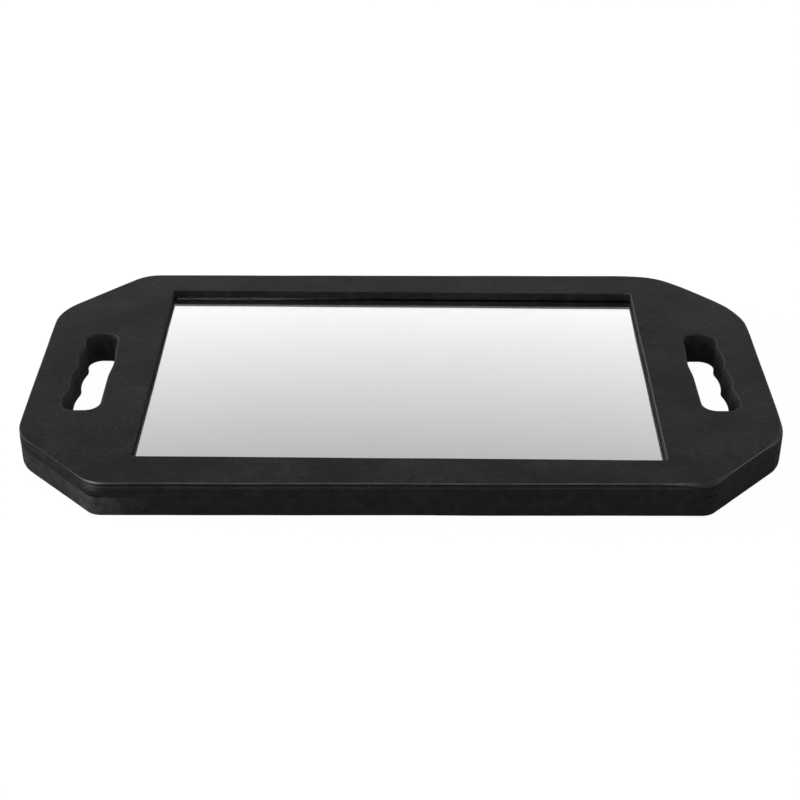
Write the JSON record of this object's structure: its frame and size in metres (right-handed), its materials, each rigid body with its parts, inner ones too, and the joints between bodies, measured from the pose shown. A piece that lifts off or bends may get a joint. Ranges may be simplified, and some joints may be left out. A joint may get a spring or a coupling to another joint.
{
  "type": "hand mirror",
  "caption": "Flat salon hand mirror: an octagonal black foam board around a recessed rectangular glass mirror, with a finger-grooved hand-hole at each end.",
  "frame": {"origin": "centre of the footprint, on the back face that the mirror lies on", "axes": "+X along the board's long side, +Y across it towards the edge far from the holder, +Z out of the mirror"},
  "size_m": [0.45, 0.25, 0.0215],
  "materials": {
    "black_foam": "matte",
    "contact_glue": "satin",
    "clear_glass": "gloss",
    "silvering": "polished",
    "backing_paint": "satin",
    "foam_tape": "matte"
  },
  "bodies": {
    "root": {"back_panel": "black_foam", "rear_glue_film": "contact_glue", "spacer_frame": "black_foam", "front_glue_film": "contact_glue", "front_frame": "black_foam", "mirror_glass": "clear_glass", "mirror_silvering": "silvering", "mirror_backing_paint": "backing_paint", "mirror_mounting_tape": "foam_tape"}
  },
  "joints": []
}
